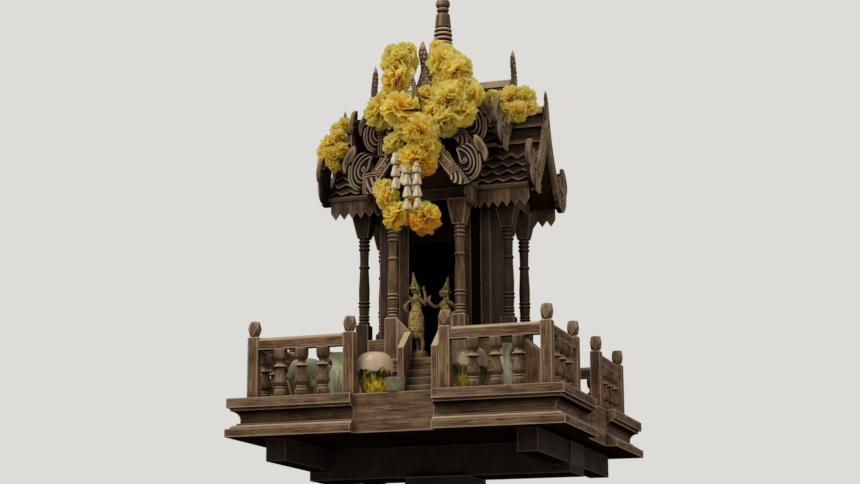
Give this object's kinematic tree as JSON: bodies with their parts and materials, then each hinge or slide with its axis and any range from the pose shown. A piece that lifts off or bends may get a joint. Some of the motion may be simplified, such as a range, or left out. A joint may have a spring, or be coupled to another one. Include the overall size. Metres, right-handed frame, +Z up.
{
  "type": "spirit house",
  "caption": "Weathered teak spirit house on a post: railed platform, small cross-shaped shrine with two-tier roof, carved scroll gables, ringed spire and flower garlands.",
  "frame": {"origin": "middle of the post's foot, on the ground", "axes": "+Z up, -Y towards the front of the house, +X to its right as seen from the front"},
  "size_m": [0.704, 0.704, 2.709],
  "materials": {
    "weathered_teak": "bare, weathered",
    "clear_glass": "polished",
    "green_glass": "polished",
    "frosted_glass": "frosted",
    "gold_paint": "metallic paint",
    "garland_flowers": "matt"
  },
  "bodies": {
    "root": {"main_post": "weathered_teak", "cross_beam": "weathered_teak", "side_beams": "weathered_teak", "bottom_board": "weathered_teak", "deck": "weathered_teak", "platform_frame": "weathered_teak", "corner_mouldings": "weathered_teak", "gap_boards": "weathered_teak", "rail_posts": "weathered_teak", "rails": "weathered_teak", "balusters": "weathered_teak", "plinth": "weathered_teak", "floor": "weathered_teak", "front_stair": "weathered_teak", "back_stair": "weathered_teak", "right_stair": "weathered_teak", "left_stair": "weathered_teak", "stair_sides": "weathered_teak", "porch_columns": "weathered_teak", "body_columns": "weathered_teak", "front_wall_left": "weathered_teak", "front_wall_right": "weathered_teak", "door_head": "weathered_teak", "back_wall": "weathered_teak", "right_wall": "weathered_teak", "left_wall": "weathered_teak", "parapets": "weathered_teak", "entry_boards": "weathered_teak", "ring_beam": "weathered_teak", "lower_roof": "weathered_teak", "upper_roof": "weathered_teak", "lower_gables": "weathered_teak", "upper_gables": "weathered_teak", "front_bargeboards": "weathered_teak", "back_bargeboards": "weathered_teak", "right_bargeboards": "weathered_teak", "left_bargeboards": "weathered_teak", "ridge_finials": "weathered_teak", "eaves_fringe": "weathered_teak", "spire_base": "weathered_teak", "spire": "weathered_teak", "glass_globes": "clear_glass", "glass_vases": "green_glass", "votive_cup": "frosted_glass", "left_dancer": "gold_paint", "right_dancer": "gold_paint", "front_garland": "garland_flowers", "right_garland": "garland_flowers", "left_garland": "garland_flowers"}
  },
  "joints": []
}
